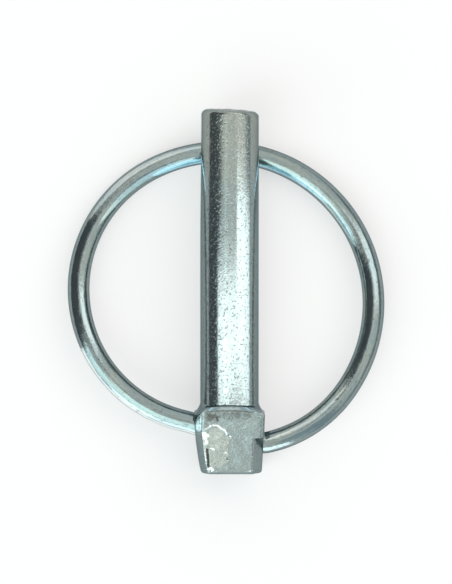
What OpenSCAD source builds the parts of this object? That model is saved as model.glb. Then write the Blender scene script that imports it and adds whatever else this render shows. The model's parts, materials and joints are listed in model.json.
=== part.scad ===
// Lynch pin: a round pin with a forged square head and a spring-wire ring hinged in the head.
// Both pieces are drawn about the hinge, with +Y towards the tip of the pin and +Z up.
// The whole pin is then laid down: the head's underside and the far side of the ring rest on z = 0.

/* [Shank] */
// Diameter of the round shank
shank_d = 8; // [7.5:0.1:8.2]
// Distance from the hinge to the tip
tip_reach = 44.6; // [42:0.1:48]
// Distance from the hinge to the end of the parallel part of the shank
parallel_reach = 36; // [30:0.5:36]
// Diameter of the shank at its tip
tip_d = 7.9; // [7:0.1:8]
// Size of the rounded edge around the tip
tip_edge = 0.7; // [0.3:0.1:1.2]
// Slope of the cropped end face, in degrees
tip_slope = 3.5; // [0:0.5:5]

/* [Head] */
// Full width and thickness of the square head
head_w = 9.4; // [9:0.1:10.5]
// Width and thickness of the head at its free end
head_end_w = 8.2; // [7:0.1:9]
// Distance from the hinge to the free end of the head
head_end_reach = 5.6; // [5:0.1:8]
// Distance from the hinge to the place where the head starts to narrow
belly_reach = 1.6; // [0.5:0.1:3]
// Distance from the hinge to the top of the shoulder
shoulder_reach = 4.1; // [3.8:0.1:5]
// Height of the sloped shoulder between head and shank
shoulder_h = 1.1; // [0.6:0.1:1.5]
// Size of the chamfered edges around the free end
end_edge = 0.4; // [0.2:0.1:0.8]
// Depth cut off the four long corners, as a share of the way out to the sharp corner
corner_share = 0.08; // [0.04:0.01:0.12]

/* [Cross hole] */
// Gap between the wire and the wall of the cross hole
hole_gap = 0.05; // [0.02:0.01:0.1]
// Depth of the countersink in each mouth, from the point where the wire bends
sink_depth = 0.6; // [0.5:0.05:1.2]
// Half angle of the countersinks, in degrees
sink_angle = 45; // [40:1:50]

/* [Ring] */
// Diameter of the spring wire
wire_d = 3; // [2.6:0.1:3.2]
// Radius of the wire's centre line over the far right quarter of the ring
far_right_r = 21.25; // [21:0.05:21.5]
// Radius of the far left quarter
far_left_r = 19.3; // [19.1:0.05:19.5]
// Radius of the left quarter next to the head
near_left_r = 18.4; // [18.2:0.05:18.6]
// Radius of the right quarter next to the head
near_right_r = 19.65; // [19.5:0.05:19.8]
// Sideways place of the far right quarter's centre, measured from the axis of the shank
ring_x = -1.45; // [-1.6:0.01:-1.3]
// Place of that centre along the shank, measured from the hinge
ring_y = 17.7; // [17.5:0.01:18]
// Sweep of the left quarter next to the head, in degrees, up to the bend where its end turns in
near_left_sweep = 81.8; // [81:0.1:82.5]
// Sweep of the right quarter next to the head, in degrees
near_right_sweep = 75.7; // [75:0.1:76.5]
// Gap left between the ring and the back of the shank when it is closed
rest_gap = 0.08; // [0.05:0.01:0.15]
// Length of each straight wire end inside the cross hole
stub_len = 4; // [2:0.1:4.5]

/* [Hidden] */
$fn = 96;

shank_r = shank_d / 2;
tip_r = tip_d / 2;
wire_r = wire_d / 2;
hole_r = wire_r + hole_gap;

// How far inside its corner the middle of the tip's rounded edge lies.
edge_inset = tip_edge * (1 - cos(45));

// Growth of the wire's radius at each bend.
bend_swell = 1.02;

// Length of the bars that cross to form the head, more than long enough to pass through one another.
bar_len = 3 * head_w;

// A point at a distance and an angle from the origin.
function polar(r, a) = [r * cos(a), r * sin(a)];

// Neighbouring quarters meet on a line through both of their centres, so the wire runs on without a kink.
far_right_c = [ring_x, ring_y];
far_left_c = far_right_c + [0, far_right_r - far_left_r];
near_left_c = far_left_c - [far_left_r - near_left_r, 0];
near_right_c = far_right_c + [far_right_r - near_right_r, 0];
left_bend = near_left_c + polar(near_left_r, 180 + near_left_sweep);
right_bend = near_right_c + polar(near_right_r, -near_right_sweep);

// The hinge line runs through both bends, so it lies in the plane of the ring.
hinge_span = right_bend - left_bend;
hinge_len = norm(hinge_span);
hinge_a = atan2(hinge_span.y, hinge_span.x);

// The closed ring slopes away behind the shank until the wire passes just under it.
cross_y = ring_y + sqrt(far_right_r * far_right_r - ring_x * ring_x);
ring_tilt = asin((shank_r + wire_r + rest_gap) / cross_y);

// Lying angle of the shank: the far side of the wire and the underside of the head touch one level.
far_y = ring_y + far_right_r;
far_run = far_y * cos(ring_tilt) + belly_reach;
far_drop = far_y * sin(ring_tilt) - head_w / 2;
lie_tilt = atan2(far_drop, far_run) + asin(wire_r / norm([far_run, far_drop]));
lie_height = belly_reach * sin(lie_tilt) + head_w / 2 * cos(lie_tilt);

// Middle of the whole part, seen from above.
mid_x = (near_right_c.x + near_right_r + near_left_c.x - near_left_r) / 2;
mid_y = (tip_reach - head_end_reach) / 2 * cos(lie_tilt);

// Lays the upright-drawn pieces down, with the middle of the part over the origin.
module lay_down() {
    translate([-mid_x, -mid_y, lie_height])
        rotate([lie_tilt, 0, 0])
            children();
}

// Tips a piece drawn in the XY plane into the plane of the closed ring.
module ring_plane() {
    rotate([-ring_tilt, 0, 0])
        children();
}

// Moves to the bend at one end of the ring and turns +Z along the hinge line, towards the other end.
module at_bend(bend, heading) {
    translate([bend.x, bend.y, 0])
        rotate([0, 90, heading])
            children();
}

// Outline of one side view of the head. A widen of 1 gives the flat sides and more gives the corners.
module head_outline(widen) {
    top = shank_r * widen;
    full = head_w / 2 * widen;
    low = head_end_w / 2 * widen;
    side = [
        [top, shoulder_reach],
        [full, shoulder_reach - shoulder_h],
        [full, -belly_reach],
        [low, end_edge - head_end_reach],
        [low - end_edge, -head_end_reach]
    ];
    polygon(concat(side, [for (i = [len(side) - 1:-1:0]) [-side[i].x, side[i].y]]));
}

// The head's outline as a long bar, turned about the axis of the shank.
module head_bar(turn, widen) {
    rotate([0, turn, 0])
        linear_extrude(height = bar_len, center = true)
            head_outline(widen);
}

// Square tapered head with a sloped shoulder and chamfered corners.
module head() {
    corner_widen = sqrt(2) * (1 - corner_share);
    intersection() {
        head_bar(0, 1);
        head_bar(90, 1);
        head_bar(45, corner_widen);
        head_bar(-45, corner_widen);
    }
}

// Round shank with a parallel part, a slight taper and an edge broken in two steps at the tip.
module shank() {
    rotate([-90, 0, 0])
        rotate_extrude()
            polygon([
                [0, 0],
                [shank_r, 0],
                [shank_r, parallel_reach],
                [tip_r, tip_reach - tip_edge],
                [tip_r - edge_inset, tip_reach - edge_inset],
                [tip_r - tip_edge, tip_reach],
                [0, tip_reach]
            ]);
}

// Block that crops the tip on a slope, down towards the right.
module tip_crop() {
    translate([0, tip_reach, 0])
        rotate([0, 0, -tip_slope])
            translate([-shank_d, 0, -shank_d])
                cube(2 * shank_d);
}

// Cross hole on the hinge line, countersunk in both mouths and turned as one shape.
module cross_hole() {
    mouth_r = hole_r + 2 * sink_depth * tan(sink_angle);
    ring_plane()
        at_bend(left_bend, hinge_a)
            rotate_extrude()
                polygon([
                    [0, -sink_depth],
                    [mouth_r, -sink_depth],
                    [hole_r, sink_depth],
                    [hole_r, hinge_len - sink_depth],
                    [mouth_r, hinge_len + sink_depth],
                    [0, hinge_len + sink_depth]
                ]);
}

// One bent quarter of the ring's wire, starting at an angle and swept on from there.
module quarter(centre, radius, from, sweep) {
    translate([centre.x, centre.y, 0])
        rotate([0, 0, from])
            rotate_extrude(angle = sweep)
                translate([radius, 0])
                    circle(r = wire_r);
}

// Bend, swollen a little by the bending, and the straight end that turns in the cross hole.
module wire_end(bend, heading) {
    at_bend(bend, heading) {
        sphere(r = wire_r * bend_swell);
        cylinder(h = stub_len, r = wire_r);
    }
}

module pin() {
    color("#9aa5ab")
        lay_down()
            difference() {
                union() {
                    shank();
                    head();
                }
                tip_crop();
                cross_hole();
            }
}

module ring() {
    color("#7f929c")
        lay_down()
            ring_plane() {
                wire_end(right_bend, hinge_a + 180);
                quarter(near_right_c, near_right_r, 0, -near_right_sweep);
                quarter(far_right_c, far_right_r, 0, 90);
                quarter(far_left_c, far_left_r, 90, 90);
                quarter(near_left_c, near_left_r, 180, near_left_sweep);
                wire_end(left_bend, hinge_a);
            }
}

pin();
ring();
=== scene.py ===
"""Lynch pin: a forged pin with a square head and a spring-wire ring hinged in it, lying on a white table.

Both pieces are made in millimetres in the pin's own space: +Y runs from the hinge to the tip, +Z is the side
that faces up and +X is to the right. place() then lays them down where the CAD frame has them.
"""
import json
import math

import bpy
import numpy as np
from mathutils import Matrix, Vector, noise


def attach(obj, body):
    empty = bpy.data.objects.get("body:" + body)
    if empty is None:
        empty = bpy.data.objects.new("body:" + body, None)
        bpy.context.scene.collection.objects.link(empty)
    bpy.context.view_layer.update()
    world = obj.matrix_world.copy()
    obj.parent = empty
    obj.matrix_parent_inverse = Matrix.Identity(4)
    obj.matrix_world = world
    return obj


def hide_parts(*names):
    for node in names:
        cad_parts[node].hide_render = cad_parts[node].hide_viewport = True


MM = 0.001

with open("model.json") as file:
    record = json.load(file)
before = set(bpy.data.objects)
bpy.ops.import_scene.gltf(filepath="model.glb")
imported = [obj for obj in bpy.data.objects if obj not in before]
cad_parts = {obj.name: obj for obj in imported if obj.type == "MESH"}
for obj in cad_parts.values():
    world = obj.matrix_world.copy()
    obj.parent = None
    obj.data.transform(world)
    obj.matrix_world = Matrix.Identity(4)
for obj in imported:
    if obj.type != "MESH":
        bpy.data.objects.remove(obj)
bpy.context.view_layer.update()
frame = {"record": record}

# ---------------------------------------------------------------- the pin's own space

SHANK_MIDDLE = 20.0  # the shank's mount sits this far from the hinge, in mm

mount = frame["record"]["mounts"][0]
pin_axis = Vector(mount["axis"]).normalized()
hinge_origin = Vector(mount["pos_m"]) - pin_axis * SHANK_MIDDLE * MM
pin_up = Vector((1, 0, 0)).cross(pin_axis)
PLACE = Matrix.Translation(hinge_origin) @ Matrix(((1, 0, 0), pin_axis, pin_up)).transposed().to_4x4()

# Driving sizes, in mm. The shank, the tip and the wire are the CAD model's. The free end of the head, the
# hole and the ring's arcs were set by the photo once more, and stay inside the CAD's box.
SHANK_R = 4.0
TIP_R = 3.95
TIP_Y = 44.6
HEAD_END_Y = -5.2
WIRE_R = 1.5
REST_GAP = 0.08
HOLE_R = 1.62
SINK_DEPTH = 0.62
CROSSING_Y = 38.9  # where the middle of the closed ring's wire passes under the shank
RING_TILT = math.asin((SHANK_R + WIRE_R + REST_GAP) / CROSSING_Y)
HALF_SPAN = 5.18  # from the middle of the hinge line to each bend of the wire

# The ring's three arcs in its own plane. The far one has its centre given and the near ones run on from it.
FAR_CENTRE = (-1.05, 18.01)
FAR_R, NEAR_RIGHT_R, NEAR_LEFT_R = 20.84, 17.72, 18.62
RIGHT_JOIN, LEFT_JOIN = -36.0, 118.6
RIGHT_END, LEFT_END = -78.3, 261.1


def arc_centre(radius, join):
    """Centre, in the ring's plane, of an arc that runs on from the far one at an angle."""
    turn = math.radians(join)
    return np.array(FAR_CENTRE) + (FAR_R - radius) * np.array([math.cos(turn), math.sin(turn)])


def hinge_ends():
    """The two bends of the wire, left and right, on the line of the frame's joint, in the pin's space."""
    joint = frame["record"]["behaviour"]["joints"][0]
    back = PLACE.inverted()
    middle = (back @ Vector(joint["pos_m"])) / MM
    along = (back.to_3x3() @ Vector(joint["axis"])).normalized()
    if along.x > 0:
        along = -along
    return middle + along * HALF_SPAN, middle - along * HALF_SPAN


def place(points):
    """Takes points in the pin's space, in mm, to the frame, in metres."""
    m = np.array(PLACE)
    return (points * MM) @ m[:3, :3].T + m[:3, 3]


# ---------------------------------------------------------------- small tools


def smooth(low, high, x):
    """0 below low, 1 above high and an S-curve between."""
    u = np.clip((x - low) / (high - low), 0, 1)
    return u * u * (3 - 2 * u)


def noise_at(points, scale, seed):
    """Fractal noise, about -1 to 1, at points in mm. Scale is the size of its lumps, in mm."""
    shift = Vector((seed * 17.3, seed * 5.1, seed * 9.7))
    falloff, gap, octaves = 0.8, 2.0, 3
    return np.array([noise.fractal(Vector(p) / scale + shift, falloff, gap, octaves) for p in points])


def distance_to_line(x, y, line):
    """Distance from each (x, y) to an open line of points."""
    best = np.full(x.shape, 1e9)
    for (ax, ay), (bx, by) in zip(line[:-1], line[1:]):
        dx, dy = bx - ax, by - ay
        t = np.clip(((x - ax) * dx + (y - ay) * dy) / (dx * dx + dy * dy), 0, 1)
        best = np.minimum(best, np.hypot(x - ax - t * dx, y - ay - t * dy))
    return best


def blob(x, y, centre, size, turn=0.0):
    """1 in the middle of an ellipse, 0 at its edge and negative outside."""
    c, s = math.cos(math.radians(turn)), math.sin(math.radians(turn))
    u = ((x - centre[0]) * c + (y - centre[1]) * s) / size[0]
    v = (-(x - centre[0]) * s + (y - centre[1]) * c) / size[1]
    return 1 - np.hypot(u, v)


def make_mesh(name, points, rows, around, vectors, floats):
    """A closed tube of rings of points, with both ends drawn in to one point each.

    Points holds every ring in turn and then the two end points. Vectors and floats are named values of each
    point.
    """
    mesh = bpy.data.meshes.new(name)
    faces = []
    for i in range(rows - 1):
        a, b = i * around, (i + 1) * around
        for j in range(around):
            k = (j + 1) % around
            faces.append((a + j, b + j, b + k, a + k))
    first, last = rows * around, rows * around + 1
    end = (rows - 1) * around
    for j in range(around):
        k = (j + 1) % around
        faces.append((first, j, k))
        faces.append((last, end + k, end + j))
    mesh.from_pydata([tuple(p) for p in place(points)], [], faces)
    for key, values in vectors.items():
        layer = mesh.attributes.new(key, "FLOAT_VECTOR", "POINT")
        layer.data.foreach_set("vector", np.ravel(values).astype(np.float32))
    for key, values in floats.items():
        layer = mesh.attributes.new(key, "FLOAT", "POINT")
        layer.data.foreach_set("value", values.astype(np.float32))
    mesh.update()
    mesh.shade_smooth()
    piece = bpy.data.objects.new(name, mesh)
    bpy.context.scene.collection.objects.link(piece)
    return piece


# ---------------------------------------------------------------- the pin

# The head's flat and slanted sides: the direction of each side's normal, in degrees round the shank from +X
# through +Z, its distance from the shank's axis at the shoulder and at the free end, and how late it
# narrows, which is 1 for a straight taper.
HEAD_SIDES = {
    "right": (0, 4.86, 4.42, 1.3),
    "front": (90, 4.72, 4.25, 1.0),
    "left": (180, 4.84, 3.9, 2.0),
    "back": (270, 4.7, 4.2, 1.2),
    "back_left_edge": (225, 6.15, 5.4, 1.2),
    "back_right_edge": (315, 6.15, 5.4, 1.2),
    "front_right_edge": (46, 6.6, 5.95, 1.2),
    "left_draft": (152, 5.56, 4.52, 2.2),
    "right_draft": (28, 5.26, 4.86, 1.0),
}
EDGE_POWER = 60  # the higher, the sharper the edges between the sides

# The right draft is cut into the corner from FACET_TOP_Y to the free end. The step above it is this long and
# this high.
FACET_TOP_Y = 0.12
FACET_STEP = (0.3, 1.6)

# Start and end of the shoulder on the front and at the sides. One turns into the other between two sines of
# the angle.
SHOULDER_FRONT = (3.58, 4.28)
SHOULDER_SIDE = (2.85, 4.35)
SHOULDER_TURN = (0.5, 0.85)
SHOULDER_ARCH = 0.018  # how much lower its edge runs towards the corners, per mm squared
FOOT_STEP, FOOT_START = 0.34, 0.78  # the step at its foot, as shares of its drop and of its length
HOLLOW_POWER = 1.5

TAPER = (26, 43)
TAPER_SPARE = 0.01  # it starts this much above the shank's radius and ends this much below the tip's
END_ROUND = 0.4
TIP_ROUND_TOP, TIP_ROUND_SIDE = 0.42, 0.8
TIP_FALL, TIP_FALL_RUN = 0.42, 2.4  # how much lower the cropped tip is at its right, and over what length
TIP_UNEVEN, TIP_UNEVEN_RUN = 0.05, 0.9
TIP_LEAN, LEAN_START = 0.08, 24
HEAD_DENT, SKIN_DENT = 0.016, 0.005


def head_reach(angle, y):
    """Distance from the axis to the head's surface in each direction, at each place along the head."""
    total = np.zeros(np.broadcast(angle, y).shape)
    along = np.clip((SHOULDER_FRONT[0] - y) / (SHOULDER_FRONT[0] - HEAD_END_Y), 0, 1)
    for name, (normal, far, end, late) in HEAD_SIDES.items():
        reach = far + (end - far) * along ** late
        if name == "right_draft":
            length, height = FACET_STEP
            reach = reach + height * smooth(FACET_TOP_Y - length, FACET_TOP_Y, y)
        total += np.clip(np.cos(angle - math.radians(normal)) / reach, 0, None) ** EDGE_POWER
    return total ** (-1 / EDGE_POWER)


def shank_reach(y):
    """Radius of the shank, which thins a little towards the tip."""
    start, end = SHANK_R + TAPER_SPARE, TIP_R - TAPER_SPARE
    return start + (end - start) * smooth(*TAPER, y)


def pin_reach(angle, y):
    """Distance from the axis to the surface of the whole forging.

    The shoulder is a slope with a step at its foot over the front and back. It is hollow at the sides, where
    the dies part.
    """
    facing = smooth(*SHOULDER_TURN, np.abs(np.sin(angle)))
    across = SHANK_R * np.cos(angle) / np.maximum(np.abs(np.sin(angle)), 0.6)
    y = y + SHOULDER_ARCH * across ** 2 * facing
    low = SHOULDER_SIDE[0] + (SHOULDER_FRONT[0] - SHOULDER_SIDE[0]) * facing
    top = SHOULDER_SIDE[1] + (SHOULDER_FRONT[1] - SHOULDER_SIDE[1]) * facing
    up = np.clip((y - low) / (top - low), 0, 1)
    slope = 1 - (1 - FOOT_STEP) * up - FOOT_STEP * smooth(FOOT_START, 1, up)
    hollow = (1 - up) ** HOLLOW_POWER
    share = hollow + (slope - hollow) * facing
    return shank_reach(y) + (head_reach(angle, y) - shank_reach(y)) * share


def pin_angles():
    """Directions round the section: close together over the head's front and at its corners."""
    half_width, height = 4.5, 4.62
    front_count, right_count, left_count, back_count = 116, 31, 33, 102
    front = np.degrees(np.arctan2(height, np.linspace(-half_width, half_width, front_count)))[::-1]
    right = np.linspace(0, front[0], right_count + 1)[:-1]
    left = np.linspace(135, 180, left_count + 1)[1:]
    back = np.linspace(180, 360, back_count + 2)[1:-1]
    return np.radians(np.concatenate([right, front, left, back]))


def pin_rows():
    """Each ring of points along the pin: its place, its share of the full reach, and its turn round an edge.

    The turn is for the rounded edges of both ends. It goes from 0 degrees, where the edge starts, to 90,
    where the end face does.
    """
    shares = (0.06, 0.14, 0.24, 0.36, 0.5, 0.64, 0.78, 0.88, 0.95)
    turns = np.linspace(0, 90, 10)
    shoulder_y, shank_y, tip_y = 3.2, 4.5, 41.5
    head_step, shoulder_step, shank_step, tip_step = 0.075, 0.05, 0.36, 0.1
    body = np.concatenate([
        np.arange(HEAD_END_Y + END_ROUND, shoulder_y, head_step)[1:],
        np.arange(shoulder_y, shank_y, shoulder_step),
        np.arange(shank_y, tip_y, shank_step),
        np.arange(tip_y, TIP_Y - TIP_ROUND_SIDE, tip_step),
    ])
    rows = [(HEAD_END_Y, k, 90) for k in shares]
    rows += [(HEAD_END_Y, 1, 90 - a) for a in turns]
    rows += [(y, 1, 0) for y in body]
    rows += [(TIP_Y, 1, a) for a in turns]
    rows += [(TIP_Y, k, 90) for k in reversed(shares)]
    y, share, turn = np.array(rows).T
    return y, share, np.radians(turn)


# Marks on the head's front face, as (x, y) in mm from the hinge. Chips and pits are ellipses, each with its
# middle, its half sizes and its turn in degrees. Smudges have a middle, half sizes and a weight.
FLAKE = ((-1.75, -1.5), (1.85, 3.1), 4)
FLAKE_FOOT = ((-3.3, 1), (-2.6, 1.42))
FLAKE_LIP = (
    (-2.6, 1.42),
    (-2.15, 1.53),
    (-1.6, 1.48),
    (-1.15, 1.1),
    (-0.65, 0.88),
    (-0.42, 0.55),
    (-0.3, 0.28),
)
CRACK = ((-3.02, -1.8), (-2.92, -2.8), (-2.86, -4.1))
CRACK_EDGE = ((-3.34, -1.75), (-3.3, -2.5), (-3.2, -3.2), (-3.18, -4))
CHIPS = (
    ((-3.42, 0.05), (0.3, 0.62), 12),
    ((-3.2, -0.65), (0.2, 0.5), 0),
    ((-3, 0.15), (0.32, 0.2), -40),
    ((-2.55, -1.62), (0.2, 0.1), 10),
    ((-2.2, -1.7), (0.1, 0.09), 0),
    ((-2.72, -4.45), (0.34, 0.18), 35),
    ((-2.35, -4.6), (0.16, 0.22), -20),
    ((0.12, 0.03), (0.12, 0.1), 0),
    ((-0.52, -2.22), (0.13, 0.1), 0),
    ((2.7, -4.74), (0.24, 0.06), 8),
)
PITS = (
    ((-0.26, -3.1), (0.12, 0.26), 0),
    ((-2.6, -1.82), (0.13, 0.12), 0),
    ((0, 0.15), (0.1, 0.08), 0),
    ((0.08, -0.22), (0.1, 0.08), 0),
    ((-0.36, -2.4), (0.12, 0.1), 0),
)
SMUDGES = (
    ((-2.4, 2.75), (1.4, 0.75), 0.75),
    ((-1.7, 2.4), (0.35, 0.5), 0.9),
    ((0.2, 3.15), (1.8, 0.28), 0.5),
    ((0.3, 2.95), (4.4, 0.7), 0.38),
    ((2.4, 3.1), (1.3, 0.22), 0.45),
    ((-3.3, 1.6), (0.4, 1.0), 0.35),
)
DOT, DOT_R = (2.18, 1.33), 0.17
LIP_RISE, DOT_RISE = 0.035, 0.03
CRACK_DEPTH, CHIP_DEPTH, PIT_DEPTH = 0.08, 0.06, 0.05

# The marks fade out at the edges of the front face: where it turns down, at the shoulder and at its left.
FACE_HEIGHT, FACE_SHARE = 4.4, (0.94, 0.985)
FACE_TOP, FACE_LEFT = (4.1, 3.9), (-4.1, -3.7)


def flake_lip_marks(x, y, wander, fine):
    """The raised lip round the flake, bare metal painted white as a glint, and its foot: how white and how
    raised.
    """
    lip = distance_to_line(x + 0.05 * wander, y + 0.05 * fine, FLAKE_LIP)
    foot = distance_to_line(x + 0.08 * wander, y, FLAKE_FOOT)
    white = np.maximum(smooth(0.06, 0.02, lip + 0.03 * fine), 0.35 * smooth(0.2, 0.05, foot))
    return white, LIP_RISE * smooth(0.14, 0.02, lip)


def crack_marks(x, y, wander, fine):
    """The sunk dark crack and the broken edge beside it, bare metal painted white as a glint: how white, how
    dark and how raised.
    """
    crack = distance_to_line(x + 0.06 * wander, y, CRACK)
    edge = distance_to_line(x + 0.1 * wander, y, CRACK_EDGE)
    white = smooth(0.06, 0.02, edge + 0.05 * fine) * smooth(-0.3, 0.3, wander + fine)
    dark = smooth(0.24, 0.12, crack + 0.05 * fine)
    return white, dark, -CRACK_DEPTH * smooth(0.22, 0.05, crack)


def chip_marks(x, y, wander, fine):
    """The chips, bare metal painted white as glints: how white and how raised."""
    white, rise = np.zeros(x.shape), np.zeros(x.shape)
    for ellipse in CHIPS:
        depth = blob(x, y, *ellipse) + 0.3 * wander + 0.4 * fine
        white = np.maximum(white, smooth(0.0, 0.25, depth))
        rise -= CHIP_DEPTH * smooth(0.0, 0.4, depth)
    return white, rise


def pit_marks(x, y, wander):
    """The pits: how dark and how raised."""
    dark, rise = np.zeros(x.shape), np.zeros(x.shape)
    for ellipse in PITS:
        depth = blob(x, y, *ellipse) + 0.3 * wander
        dark = np.maximum(dark, 0.8 * smooth(-0.1, 0.5, depth))
        rise -= PIT_DEPTH * smooth(0.0, 0.6, depth)
    return dark, rise


def shoulder_marks(x, y, wander, fine):
    """The shoulder's rubbed band, painted pale as a highlight, and dark marks at its edge and below it: how
    dark, how pale.
    """
    low, top = SHOULDER_FRONT
    on_slope = y + SHOULDER_ARCH * x ** 2
    # The rubbed band is paler zinc, painted brighter here as a highlight.
    rub_and_highlight = smooth(low, low + 0.12, on_slope) * smooth(top + 0.1, top - 0.1, on_slope)
    # A dark line runs along the shoulder's edge, and dark smudges lie below it.
    edge_y = low - 0.05 - SHOULDER_ARCH * x ** 2
    line = np.abs(y - edge_y + 0.04 * fine)
    dark = 0.75 * smooth(0.13, 0.04, line + 0.05 * wander) * smooth(3.7, 3.0, np.abs(x))
    for centre, size, weight in SMUDGES:
        inside = blob(x, y, centre, size) + 0.5 * wander + 0.35 * fine
        dark = np.maximum(dark, weight * smooth(0.0, 0.7, inside))
    return dark, rub_and_highlight * (0.75 + 0.4 * fine)


def head_marks(x, y, front):
    """All marks on the head's front: how white (painted glints), dark, raised, flaked and rubbed (in part a
    painted highlight) each point is.
    """
    flat = np.stack([x, y, 0 * x], 1)
    wander, fine = noise_at(flat, 0.45, 3), noise_at(flat, 0.16, 5)
    lip_white, lip_rise = flake_lip_marks(x, y, wander, fine)
    edge_white, crack_dark, crack_rise = crack_marks(x, y, wander, fine)
    chip_white, chip_rise = chip_marks(x, y, wander, fine)
    pit_dark, pit_rise = pit_marks(x, y, wander)
    dark_tone, rub_and_highlight = shoulder_marks(x, y, wander, fine)
    dot = np.hypot(x - DOT[0], y - DOT[1])
    dot_rise = DOT_RISE * smooth(0.06, 0.0, np.abs(dot - DOT_R))

    white = np.maximum.reduce([lip_white, edge_white, chip_white])
    dark = np.maximum.reduce([crack_dark, pit_dark, dark_tone])
    rise = lip_rise + crack_rise + chip_rise + pit_rise + dot_rise
    flake = smooth(-0.15, 0.25, blob(x, y, *FLAKE) + 0.25 * wander)
    return [values * front for values in (white, dark, rise, flake, rub_and_highlight)]


def crop_tip(points, y):
    """Slopes the tip down to the right, and leaves it a little uneven, as the shear did."""
    near_tip = smooth(TIP_Y - TIP_FALL_RUN, TIP_Y, y)
    points[:, 1] -= near_tip * TIP_FALL * np.clip((points[:, 0] + SHANK_R) / (2 * SHANK_R), 0, 1) ** 2
    at_tip = smooth(TIP_Y - TIP_UNEVEN_RUN, TIP_Y - 0.1, y)
    points[:, 1] -= TIP_UNEVEN * at_tip * (1 + noise_at(points, 1.1, 8))


def dent_skin(points, angle, y, share):
    """Presses in the gentle hollows left by the dies, on the head most of all."""
    outward = np.stack([np.cos(angle), 0 * angle, np.sin(angle)], 1)
    on_head = smooth(4.6, 3.4, y)
    dents = HEAD_DENT * on_head * noise_at(points, 2.6, 1) + SKIN_DENT * noise_at(points, 1.3, 2)
    points += outward * (dents * share)[:, None]


def build_pin():
    """The forging: head, shoulder, shank and cropped tip as one closed skin."""
    angles = pin_angles()
    y, share, turn = pin_rows()
    around, rows = len(angles), len(y)
    ang = np.tile(angles, rows)
    yy, share, turn = (np.repeat(values, around) for values in (y, share, turn))
    tip_round = TIP_ROUND_TOP + (TIP_ROUND_SIDE - TIP_ROUND_TOP) * np.cos(ang) ** 2
    radius = np.where(yy > 0, tip_round, -END_ROUND)
    at_end = (yy == TIP_Y) | (yy == HEAD_END_Y)
    yy = yy - radius * (1 - np.sin(turn)) * at_end
    depth = np.abs(radius) * (1 - np.cos(turn))
    reach = (pin_reach(ang, yy) - depth) * share
    points = np.stack([reach * np.cos(ang), yy, reach * np.sin(ang)], 1)

    crop_tip(points, yy)
    points[:, 0] += TIP_LEAN * smooth(LEAN_START, TIP_Y, yy)
    dent_skin(points, ang, yy, share)

    front = smooth(*FACE_SHARE, reach * np.sin(ang) / FACE_HEIGHT) * smooth(*FACE_TOP, yy)
    front *= smooth(*FACE_LEFT, points[:, 0]) * (share > 0.99)
    white, dark, rise, flake, rub_and_highlight = head_marks(points[:, 0], points[:, 1], front)
    points[:, 2] += rise

    ends = np.array([[0, HEAD_END_Y, 0], [0, TIP_Y - 0.1, 0]])
    points = np.concatenate([points, ends])
    # The white marks are painted glints on bare metal, and the rubbed band is partly a painted highlight.
    floats = {"white": white, "dark": dark, "flake": flake, "rub_and_highlight": rub_and_highlight}
    floats = {key: np.append(values, np.zeros(len(ends))) for key, values in floats.items()}
    return make_mesh("pin_forging", points, rows, around, {"pin_space": points}, floats)


def spindle(name, profile, start, along):
    """A turned solid about a line: profile lists (distance along it, radius). Its faces look inwards."""
    sides = 72
    axis = along.normalized()
    u = axis.orthogonal().normalized()
    v = axis.cross(u)
    points = []
    for run, radius in profile:
        for j in range(sides):
            a = 2 * math.pi * j / sides
            points.append(start + axis * run + (u * math.cos(a) + v * math.sin(a)) * radius)
    first, last = start + axis * profile[0][0], start + axis * profile[-1][0]
    points.extend([first, last])
    return make_mesh(name, np.array([tuple(p) for p in points]), len(profile), sides, {}, {})


SHARP_ANGLE = 40.0
CUTTER_MARGIN = 1.5


def drill(piece):
    """Subtracts the slanted cross hole, countersunk in both mouths, and drops the cutter.

    Known fault: the cutter's faces look inwards, so the hole stays closed. The head keeps its whole skin and
    gets the hole's shape as a second shell inside, with doubled faces at the mouths. u.cross(axis) in
    spindle() turns the faces outwards and opens the hole.
    """
    left, right = hinge_ends()
    span = (right - left).length
    mouth = HOLE_R + SINK_DEPTH
    profile = [
        (-CUTTER_MARGIN, mouth + CUTTER_MARGIN),
        (0, mouth),
        (SINK_DEPTH, HOLE_R),
        (span - SINK_DEPTH, HOLE_R),
        (span, mouth),
        (span + CUTTER_MARGIN, mouth + CUTTER_MARGIN),
    ]
    cutter = spindle("cutter", profile, left, right - left)
    cut = piece.modifiers.new("hole", "BOOLEAN")
    cut.operation = "DIFFERENCE"
    cut.solver = "MANIFOLD"
    cut.object = cutter
    bpy.context.view_layer.update()
    graph = bpy.context.evaluated_depsgraph_get()
    done = bpy.data.meshes.new_from_object(piece.evaluated_get(graph), depsgraph=graph)
    piece.modifiers.clear()
    old = piece.data
    piece.data = done
    bpy.data.meshes.remove(old)
    done.name = piece.name
    done.set_sharp_from_angle(angle=math.radians(SHARP_ANGLE))
    bpy.data.objects.remove(cutter)


# ---------------------------------------------------------------- the ring

ROUTE_STEP = 0.18
STUB_LENGTH = 4.0
BEND_PLACE, BEND_SPREAD = 4.2, 1.6  # along the wire, from its end
BEND_FLAT = 0.012
WIRE_UNEVEN = 0.004
WIRE_SIDES = 56


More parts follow.
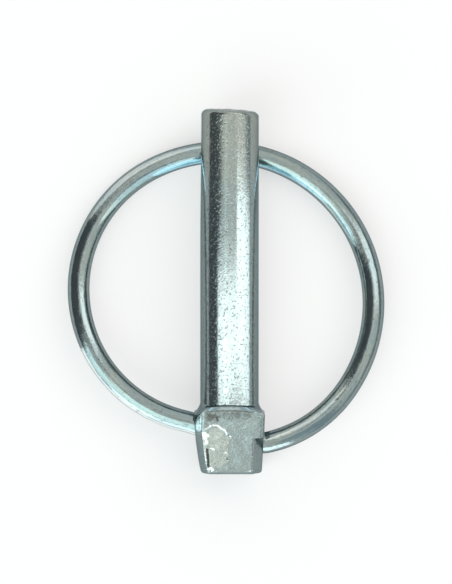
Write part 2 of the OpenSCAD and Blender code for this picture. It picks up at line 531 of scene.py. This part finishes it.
def ring_route():
    """Middle of the wire in the ring's plane, from end to end: straight stub, three arcs, straight stub."""
    arc = []
    for radius, join, start, stop in (
        (NEAR_RIGHT_R, RIGHT_JOIN, RIGHT_END, RIGHT_JOIN),
        (FAR_R, 0.0, RIGHT_JOIN, LEFT_JOIN),
        (NEAR_LEFT_R, LEFT_JOIN, LEFT_JOIN, LEFT_END),
    ):
        count = int(math.radians(stop - start) * radius / ROUTE_STEP)
        a = np.radians(np.linspace(start, stop, count, endpoint=False))[:, None]
        arc.append(arc_centre(radius, join) + radius * np.concatenate([np.cos(a), np.sin(a)], 1))
    lift = Matrix.Rotation(RING_TILT, 3, "X")
    left, right = (np.array((lift @ end)[:2]) for end in hinge_ends())
    line = (left - right) / np.linalg.norm(left - right)
    stub = np.arange(STUB_LENGTH, 0.0, -ROUTE_STEP)[:, None]
    return np.concatenate([right + line * stub, *arc, left - line * stub[::-1]])


def soften(route, passes, pinned):
    """Rounds off the bends of a route, leaving as many points at each end alone as are pinned."""
    for _ in range(passes):
        mean = route.copy()
        mean[1:-1] = (route[:-2] + 2 * route[1:-1] + route[2:]) / 4
        mean[:pinned], mean[-pinned:] = route[:pinned], route[-pinned:]
        route = mean
    return route


def build_ring():
    """The wire: a round section swept along the route, with a rounded bend at each mouth of the hole."""
    route = soften(ring_route(), passes=14, pinned=12)
    steps = np.linalg.norm(np.diff(route, axis=0), axis=1)
    run = np.concatenate([[0], np.cumsum(steps)])
    ahead = np.gradient(route, axis=0)
    ahead /= np.linalg.norm(ahead, axis=1)[:, None]
    side = np.stack([ahead[:, 1], -ahead[:, 0]], 1)
    rows, around = len(route), WIRE_SIDES
    turns = np.linspace(0, 2 * math.pi, around, endpoint=False)

    # Each bend is pressed a little flat, and the drawn wire isn't quite even.
    near_bend = np.exp(-((run - BEND_PLACE) / BEND_SPREAD) ** 2)
    near_bend += np.exp(-((run[-1] - run - BEND_PLACE) / BEND_SPREAD) ** 2)
    radius = np.repeat(np.full(rows, WIRE_R), around)
    t = np.tile(turns, rows)
    s = np.repeat(run, around)
    straight = np.stack([WIRE_R * np.cos(t), s, WIRE_R * np.sin(t)], 1)
    radius -= BEND_FLAT * np.repeat(near_bend, around) * (1 + np.cos(2 * t))
    radius += WIRE_UNEVEN * noise_at(straight * np.array([1, 0.12, 1]), 1.2, 4)

    flat = np.repeat(route, around, axis=0) + np.repeat(side, around, axis=0) * (radius * np.cos(t))[:, None]
    height = radius * np.sin(t)
    points = np.stack([flat[:, 0], flat[:, 1], height], 1)
    ends = np.array([[*route[0], 0], [*route[-1], 0]])
    points = np.concatenate([points, ends])
    turn = np.array(Matrix.Rotation(-RING_TILT, 3, "X"))
    points = points @ turn.T
    straight = np.concatenate([straight, [[0, 0, 0], [0, run[-1], 0]]])
    return make_mesh("ring_wire", points, rows, around, {"wire_space": straight}, {})


# ---------------------------------------------------------------- materials


class Nodes:
    """Short way to write a material's nodes."""

    def __init__(self, name, tree=None):
        if tree is None:
            self.material = bpy.data.materials.new(name)
            self.material.use_nodes = True
            tree = self.material.node_tree
            self.shader = tree.nodes["Principled BSDF"]
        self.tree = tree

    def add(self, kind, **values):
        """A new node, with its properties set."""
        node = self.tree.nodes.new(kind)
        for key, value in values.items():
            setattr(node, key, value)
        return node

    def link(self, source, target):
        self.tree.links.new(source, target)

    def attribute(self, name, output="Fac"):
        """Value of a mesh attribute, or its vector."""
        return self.add("ShaderNodeAttribute", attribute_name=name).outputs[output]

    def along(self, source, axis):
        """One part, X, Y or Z, of a coordinate."""
        node = self.add("ShaderNodeSeparateXYZ")
        self.link(source, node.inputs[0])
        return node.outputs[axis]

    def stretched(self, source, scale):
        """A coordinate scaled along its three directions."""
        node = self.add("ShaderNodeVectorMath", operation="MULTIPLY")
        self.link(source, node.inputs[0])
        node.inputs[1].default_value = scale
        return node.outputs[0]

    def noise(self, source, size, detail=3.0, roughness=0.55, distortion=0.0):
        """Noise with lumps of a size in the coordinate's units."""
        node = self.add("ShaderNodeTexNoise")
        self.link(source, node.inputs["Vector"])
        node.inputs["Scale"].default_value = 1 / size
        node.inputs["Detail"].default_value = detail
        node.inputs["Roughness"].default_value = roughness
        node.inputs["Distortion"].default_value = distortion
        return node.outputs["Fac"]

    def ramp(self, source, low, high, to_low=0.0, to_high=1.0):
        """Maps low..high onto to_low..to_high, held at both ends."""
        node = self.add("ShaderNodeMapRange")
        node.clamp = True
        self.link(source, node.inputs["Value"])
        for key, value in zip(("From Min", "From Max", "To Min", "To Max"), (low, high, to_low, to_high)):
            node.inputs[key].default_value = value
        return node.outputs["Result"]

    def math(self, operation, a, b):
        """Arithmetic on two values. Either may be a number or a socket."""
        node = self.add("ShaderNodeMath", operation=operation)
        for socket, value in zip(node.inputs, (a, b)):
            if isinstance(value, (int, float)):
                socket.default_value = value
            else:
                self.link(value, socket)
        return node.outputs[0]

    def mix(self, factor, a, b):
        """Blends two colours. Either may be a colour or a socket."""
        node = self.add("ShaderNodeMix", data_type="RGBA")
        self.link(factor, node.inputs["Factor"])
        for key, value in (("A", a), ("B", b)):
            socket = next(i for i in node.inputs if i.name == key and i.type == "RGBA")
            if isinstance(value, tuple):
                socket.default_value = (*value, 1)
            else:
                self.link(value, socket)
        return next(o for o in node.outputs if o.type == "RGBA")

    def bump(self, height, strength, distance, normal=None):
        """Bumps as high as the distance, in metres, on top of another bump if one is given."""
        node = self.add("ShaderNodeBump")
        node.inputs["Strength"].default_value = strength
        node.inputs["Distance"].default_value = distance
        self.link(height, node.inputs["Height"])
        if normal is not None:
            self.link(normal, node.inputs["Normal"])
        return node.outputs["Normal"]


EDGE_TINT = (0.45, 0.5, 0.53, 1)  # zinc mirrors a little less, and bluer, where it is seen edge on


def plated_forging():
    """Bright zinc over a forged skin: mottled, with fine pits and dull grit, flaked on the head, with bare
    metal painted white as glints and a rubbed shoulder painted pale as a highlight.
    """
    cool, warm = (0.245, 0.3, 0.3), (0.3, 0.33, 0.3)
    shade, spark = (0.2, 0.235, 0.225), (0.34, 0.38, 0.365)
    dust, pit = (0.32, 0.35, 0.36), (0.12, 0.135, 0.125)
    scale_low, scale_high = (0.28, 0.29, 0.255), (0.44, 0.455, 0.41)
    # Painted light: the rubbed colour is paler zinc brightened as a highlight, and the chipped colour is
    # bare metal painted near white as glints.
    rub_highlight_colour, dark_tone, bare_metal_glint = (0.4, 0.51, 0.54), (0.055, 0.052, 0.045), (0.9, 0.92, 0.91)

    n = Nodes("plated_forging")
    at = n.attribute("pin_space", "Vector")
    cloud = n.noise(at, 3.2, 4.0, 0.6)
    mottle = n.noise(n.stretched(at, (1, 0.6, 1)), 0.8, 5.0, 0.65, 0.4)
    grain = n.noise(n.stretched(at, (1, 0.8, 1)), 0.22, 2.0, 0.6)
    grit = n.ramp(n.noise(n.stretched(at, (1.2, 0.9, 1.1)), 0.24, 1.0, 0.5), 0.53, 0.68)
    pits = n.ramp(n.noise(n.stretched(at, (0.9, 0.8, 1.2)), 0.26, 2.0, 0.5), 0.59, 0.68)
    flake = n.attribute("flake")

    # The plating is a little warmer and paler towards the tip.
    towards_tip = n.math("ADD", n.along(at, "Y"), n.ramp(cloud, 0.3, 0.7, -5, 5))
    colour = n.mix(n.ramp(towards_tip, 30, 42), cool, warm)
    colour = n.mix(n.ramp(mottle, 0.42, 0.68, 0.0, 0.45), colour, shade)
    colour = n.mix(n.ramp(grain, 0.45, 0.75, 0.0, 0.3), colour, spark)
    colour = n.mix(n.math("MULTIPLY", grit, 0.3), colour, dust)
    colour = n.mix(n.math("MULTIPLY", pits, 0.6), colour, pit)
    scale = n.mix(n.ramp(grain, 0.35, 0.65), scale_low, scale_high)
    colour = n.mix(n.math("MULTIPLY", flake, 0.5), colour, scale)
    # Painted highlight: the shoulder's rubbed band, paler and bluer zinc.
    colour = n.mix(n.math("MULTIPLY", n.attribute("rub_and_highlight"), 0.8), colour, rub_highlight_colour)
    colour = n.mix(n.attribute("dark"), colour, dark_tone)
    # Painted glints: bare metal at the flake's lip, the chips and the crack's edge, near white.
    colour = n.mix(n.attribute("white"), colour, bare_metal_glint)
    n.link(colour, n.shader.inputs["Base Color"])

    rough = n.math("ADD", n.ramp(mottle, 0.3, 0.7, 0.09, 0.14), n.math("MULTIPLY", grit, 0.12))
    rough = n.math("ADD", rough, n.math("MULTIPLY", flake, 0.1))
    rough = n.math("ADD", rough, n.math("MULTIPLY", n.attribute("white"), 0.3))
    n.link(rough, n.shader.inputs["Roughness"])
    n.shader.inputs["Metallic"].default_value = 1.0
    n.shader.inputs["Specular Tint"].default_value = EDGE_TINT

    fine = n.bump(grain, 0.15, 0.00005)
    broad = n.bump(mottle, 0.08, 0.0001, fine)
    n.link(n.bump(pits, 0.4, -0.00003, broad), n.shader.inputs["Normal"])
    return n.material


def plated_wire():
    """Bright zinc over drawn wire: smooth, with faint lines along it and small dull spots."""
    cool, warm = (0.225, 0.29, 0.3), (0.28, 0.325, 0.308)
    line, spark, spot = (0.17, 0.205, 0.215), (0.345, 0.4, 0.39), (0.13, 0.14, 0.13)

    n = Nodes("plated_wire")
    at = n.attribute("wire_space", "Vector")
    lines = n.noise(n.stretched(at, (1, 0.05, 1)), 0.3, 3.0, 0.6)
    cloud = n.noise(n.stretched(at, (1, 0.35, 1)), 1.6, 4.0, 0.6)
    grain = n.noise(n.stretched(at, (1, 0.5, 1)), 0.34, 3.0, 0.65)
    spots = n.ramp(n.noise(n.stretched(at, (1.1, 0.7, 0.9)), 0.4, 2.0, 0.5), 0.62, 0.72)

    colour = n.mix(n.ramp(cloud, 0.35, 0.65), cool, warm)
    colour = n.mix(n.ramp(lines, 0.42, 0.7, 0.0, 0.55), colour, line)
    colour = n.mix(n.ramp(grain, 0.45, 0.75, 0.0, 0.35), colour, spark)
    colour = n.mix(n.math("MULTIPLY", spots, 0.6), colour, spot)
    n.link(colour, n.shader.inputs["Base Color"])

    rough = n.math("ADD", n.ramp(cloud, 0.3, 0.7, 0.1, 0.16), n.math("MULTIPLY", spots, 0.15))
    n.link(rough, n.shader.inputs["Roughness"])
    n.shader.inputs["Metallic"].default_value = 1.0
    n.shader.inputs["Specular Tint"].default_value = EDGE_TINT

    fine = n.bump(grain, 0.3, 0.00005)
    drawn = n.bump(lines, 0.2, 0.00004, fine)
    n.link(n.bump(cloud, 0.45, 0.00012, drawn), n.shader.inputs["Normal"])
    return n.material


# ---------------------------------------------------------------- table, light and camera

CAMERA_DISTANCE = 0.9
IMAGE_HEIGHT = 80.5 * MM
SENSOR_WIDTH = 36

TABLE_WIDTH = 6.0
TABLE_COLOUR = (0.88, 0.85, 0.845)
TABLE_WHITE = (0.985, 0.985, 0.985)
WHITE_SHARE = 0.52


def white_floor():
    """A white table top: the camera, metal and glass see it half plain white, and half as it is lit."""
    n = Nodes("table")
    n.shader.inputs["Base Color"].default_value = (*TABLE_COLOUR, 1)
    n.shader.inputs["Roughness"].default_value = 0.8
    rays = n.add("ShaderNodeLightPath")
    seen = n.math("MAXIMUM", rays.outputs["Is Camera Ray"], rays.outputs["Is Glossy Ray"])
    seen = n.math("MAXIMUM", seen, rays.outputs["Is Transmission Ray"])
    glow = n.add("ShaderNodeEmission")
    glow.inputs["Color"].default_value = (*TABLE_WHITE, 1)
    blend = n.add("ShaderNodeMixShader")
    n.link(n.math("MULTIPLY", seen, WHITE_SHARE), blend.inputs["Fac"])
    n.link(n.shader.outputs["BSDF"], blend.inputs[1])
    n.link(glow.outputs["Emission"], blend.inputs[2])
    n.link(blend.outputs["Shader"], n.tree.nodes["Material Output"].inputs["Surface"])
    return n.material


def build_table():
    """A wide flat table top at z = 0."""
    mesh = bpy.data.meshes.new("table")
    reach = TABLE_WIDTH / 2
    corners = [(-reach, -reach, 0), (reach, -reach, 0), (reach, reach, 0), (-reach, reach, 0)]
    mesh.from_pydata(corners, [], [(0, 1, 2, 3)])
    mesh.materials.append(white_floor())
    table = bpy.data.objects.new("table", mesh)
    bpy.context.scene.collection.objects.link(table)


def area_lamp(name, shape, size, level, colour, spot, turn, lit):
    """A light with one bright face, as bright as its level all over, that lights one collection only."""
    light = bpy.data.lights.new(name, "AREA")
    light.shape = shape
    light.size, light.size_y = size
    light.color = colour
    area = size[0] * size[1] * (math.pi / 4 if shape == "ELLIPSE" else 1)
    light.energy = level * area * math.pi
    lamp = bpy.data.objects.new(name, light)
    lamp.location = spot
    lamp.rotation_euler = turn
    lamp.visible_camera = False
    lamp.light_linking.receiver_collection = lit
    bpy.context.scene.collection.objects.link(lamp)


# Strip lights across the shank, with the angles that each one spans, counted from straight up, and how far
# from the hinge its mirror image on the shank ends.
STRIPS = (
    ("strip_over", -45, 28, 22.5),
    ("strip_right", 28, 82, 34.5),
)
STRIP_AWAY = 110 * MM
STRIP_LEVEL = 2.8


def strip(name, left, right, far, lit):
    """A strip light across the shank, placed so that its mirror image starts at the end of the shoulder."""
    middle, half = math.radians((left + right) / 2), math.radians((right - left) / 2)
    lean = -pin_axis.z * (1 + math.cos(middle))
    reach = 1 + STRIP_AWAY / CAMERA_DISTANCE
    ends = [(hinge_origin.y + y * MM) * reach + lean * STRIP_AWAY for y in (SHOULDER_FRONT[1], far)]
    size = (2 * STRIP_AWAY * math.tan(half), ends[1] - ends[0])
    centre = (STRIP_AWAY * math.sin(middle), sum(ends) / 2, STRIP_AWAY * math.cos(middle))
    area_lamp(name, "RECTANGLE", size, STRIP_LEVEL, (1, 1, 1), centre, (0, middle, 0), lit)


# The room, as seen about the direction that the top of the lying ring mirrors, which leans from straight up.
# Each panel has the azimuth of its middle, counted from +X through +Y, its half width, its nearest and its
# farthest angle from that direction, and its colour. A later panel covers the ones before it.
ROOM_LEAN = 9.7
ROOM = (
    ("horizon", 0, 200, 66, 200, (0.64, 0.7, 0.73)),
    ("south_east", 302, 16, 24, 100, (0.6, 0.72, 0.78)),
    ("north_frame", 126, 20, 24, 29, (0.45, 0.5, 0.48)),
    ("south_west", 243, 20, 22, 66, (2.3, 2.75, 2.7)),
    ("south_west_edge", 213, 10, 40, 66, (2.3, 2.75, 2.7)),
    ("south_west_low", 222, 20, 66, 98, (1.9, 2.4, 2.5)),
    ("south_low", 273, 31, 66, 100, (0.86, 0.98, 1.04)),
    ("east", 15, 14, 7, 56, (2.8, 2.8, 2.8)),
    ("east_low", 22, 24, 60, 200, (0.36, 0.42, 0.44)),
    ("east_side", -11, 9, 78, 200, (0.36, 0.42, 0.44)),
    ("west_dark", 173, 28, -3, 97, (0.15, 0.16, 0.175)),
)
CEILING = (1.2, 1.19, 1.14)
PANEL_BLUR = 3.0


def build_world():
    """A plain light room with a few brighter and darker panels, all far away."""
    world = bpy.data.worlds.new("studio")
    bpy.context.scene.world = world
    world.use_nodes = True
    n = Nodes(None, world.node_tree)
    turned = n.add("ShaderNodeVectorRotate", rotation_type="X_AXIS")
    n.link(n.add("ShaderNodeTexCoord").outputs["Generated"], turned.inputs["Vector"])
    turned.inputs["Angle"].default_value = math.radians(ROOM_LEAN)
    parts = n.add("ShaderNodeSeparateXYZ")
    n.link(turned.outputs["Vector"], parts.inputs[0])
    away = n.math("DEGREES", n.math("ARCCOSINE", parts.outputs["Z"], 0), 0)
    level = n.add("ShaderNodeCombineXYZ")
    n.link(parts.outputs["X"], level.inputs["X"])
    n.link(parts.outputs["Y"], level.inputs["Y"])
    unit = n.add("ShaderNodeVectorMath", operation="NORMALIZE")
    n.link(level.outputs[0], unit.inputs[0])

    colour = CEILING
    for _, azimuth, half, near, far, shade in ROOM:
        middle = n.add("ShaderNodeVectorMath", operation="DOT_PRODUCT")
        n.link(unit.outputs[0], middle.inputs[0])
        turn = math.radians(azimuth)
        middle.inputs[1].default_value = (math.cos(turn), math.sin(turn), 0)
        off = n.math("DEGREES", n.math("ARCCOSINE", middle.outputs["Value"], 0), 0)
        mask = n.ramp(off, half + PANEL_BLUR, half - PANEL_BLUR)
        mask = n.math("MULTIPLY", mask, n.ramp(away, near - PANEL_BLUR / 2, near + PANEL_BLUR / 2))
        mask = n.math("MULTIPLY", mask, n.ramp(away, far + PANEL_BLUR, far - PANEL_BLUR))
        colour = n.mix(mask, colour, shade)
    n.link(colour, n.tree.nodes["Background"].inputs["Color"])


# Low lights by the wire. Each has the arc that it follows, given by its radius and its join, the part of the
# arc in degrees, how far outside the middle of the wire it stands, or inside if negative, its lowest and its
# highest point, in mm, its level and its colour.
FAR_ARC, LEFT_ARC, RIGHT_ARC = (FAR_R, 0), (NEAR_LEFT_R, LEFT_JOIN), (NEAR_RIGHT_R, RIGHT_JOIN)
BLUE, PALE, WHITE, GLINT = (0.38, 0.78, 1.0), (0.78, 0.96, 1.0), (1.0, 0.88, 0.87), (0.5, 0.8, 1.0)
RING_LIGHTS = (
    ("inner_right_far", "ELLIPSE", FAR_ARC, (24, 62), -4.1, (1.6, 7.0), 1.2, PALE),
    ("inner_right", "ELLIPSE", FAR_ARC, (44, 96), -4.1, (0.6, 7.6), 1.25, BLUE),
    ("inner_left", "ELLIPSE", FAR_ARC, (84, 118), -4.1, (0.4, 7.2), 1.5, BLUE),
    ("inner_left_far", "ELLIPSE", FAR_ARC, (92, 144), -4.1, (2.6, 12.5), 1.35, PALE),
    ("inner_low_right", "ELLIPSE", RIGHT_ARC, (-84, -26), -4.1, (9.5, 19.0), 1.3, WHITE),
    ("outer_high_left", "ELLIPSE", FAR_ARC, (92, 148), 8.0, (1.8, 7.0), 1.15, WHITE),
    ("outer_left", "RECTANGLE", LEFT_ARC, (204, 229), 4.1, (0.3, 4.6), 2.4, WHITE),
    ("outer_left_near", "RECTANGLE", LEFT_ARC, (229, 262), 4.1, (0.3, 4.9), 2.6, WHITE),
)

# The glint along the top of the wire, which the shank's flanks mirror below the place where the ring
# crosses.
FLANK_LIGHTS = (
    ("flank_right", "ELLIPSE", FAR_ARC, (39, 84), 0.5, (1.9, 4.5), 2.8, GLINT),
    ("flank_left", "ELLIPSE", FAR_ARC, (93, 138), 0.5, (1.9, 4.5), 2.8, GLINT),
)


def low_light(name, shape, arc, span, offset, heights, level, colour, lit):
    """A low upright light by the wire, facing out if it stands inside the ring and facing in if not."""
    middle, half = math.radians(sum(span) / 2), math.radians((span[1] - span[0]) / 2)
    reach = arc[0] + offset
    size = (2 * reach * math.sin(half) * MM, (heights[1] - heights[0]) * MM)
    centre = arc_centre(*arc) + reach * math.cos(half) * np.array([math.cos(middle), math.sin(middle)])
    spot = hinge_origin + Vector((*centre, 0)) * MM
    spot.z = sum(heights) / 2 * MM
    facing = middle if offset < 0 else middle + math.pi
    area_lamp(name, shape, size, level, colour, spot, (math.pi / 2, 0, facing - math.pi / 2), lit)


def low_window(lit):
    """A low window beyond the head, which lights the wire."""
    left, right, low, high, away = -70, 26, 0.5, 30, 60
    level, colour = 2.8, (0.85, 0.93, 1.0)
    size = ((right - left) * MM, (high - low) * MM)
    spot = Vector(((left + right) / 2, -away, (low + high) / 2)) * MM
    area_lamp("low_window", "RECTANGLE", size, level, colour, spot, (math.pi / 2, 0, 0), lit)


def entry_glint(lit):
    """The glint of the wire's left end, as the slanted left side of the head's front mirrors it."""
    left, along, up = 10, 1.0, 1.6
    size, level = (2.8 * MM, 7 * MM), 3.0
    spot = hinge_origin + Vector((-left, along, up)) * MM
    turn = (math.pi / 2, 0, -math.pi / 2)
    area_lamp("entry_glint", "ELLIPSE", size, level, PALE, spot, turn, lit)


def light_group(name, piece):
    """A collection of one piece, for lights that light nothing else."""
    group = bpy.data.collections.new(name)
    group.objects.link(piece)
    return group


def build_lights(forging, wire):
    """Lights that each light one piece only, and stand for what that piece mirrors in the photo."""
    forging_group = light_group("forging_light", forging)
    wire_group = light_group("wire_light", wire)
    for row in STRIPS:
        strip(*row, forging_group)
    low_window(wire_group)
    for row in RING_LIGHTS:
        low_light(*row, wire_group)
    for row in FLANK_LIGHTS:
        low_light(*row, forging_group)
    entry_glint(forging_group)


def build_camera():
    """Straight above the object, far off behind a long lens, with the tip of the pin at the top."""
    camera = bpy.data.cameras.new("camera")
    camera.sensor_width = SENSOR_WIDTH
    camera.lens = SENSOR_WIDTH * CAMERA_DISTANCE / IMAGE_HEIGHT
    camera.clip_start, camera.clip_end = 0.05, 20
    eye = bpy.data.objects.new("camera", camera)
    eye.location = (0, 0, CAMERA_DISTANCE)
    bpy.context.scene.collection.objects.link(eye)
    bpy.context.scene.camera = eye


# ---------------------------------------------------------------- the scene

pin = build_pin()
drill(pin)
pin.data.materials.clear()
pin.data.materials.append(plated_forging())
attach(pin, "pin_body")
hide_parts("pin")

ring = build_ring()
ring.data.materials.append(plated_wire())
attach(ring, "ring_body")
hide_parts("ring")

build_table()
build_world()
build_lights(pin, ring)
build_camera()
bpy.context.scene.view_settings.view_transform = "Standard"
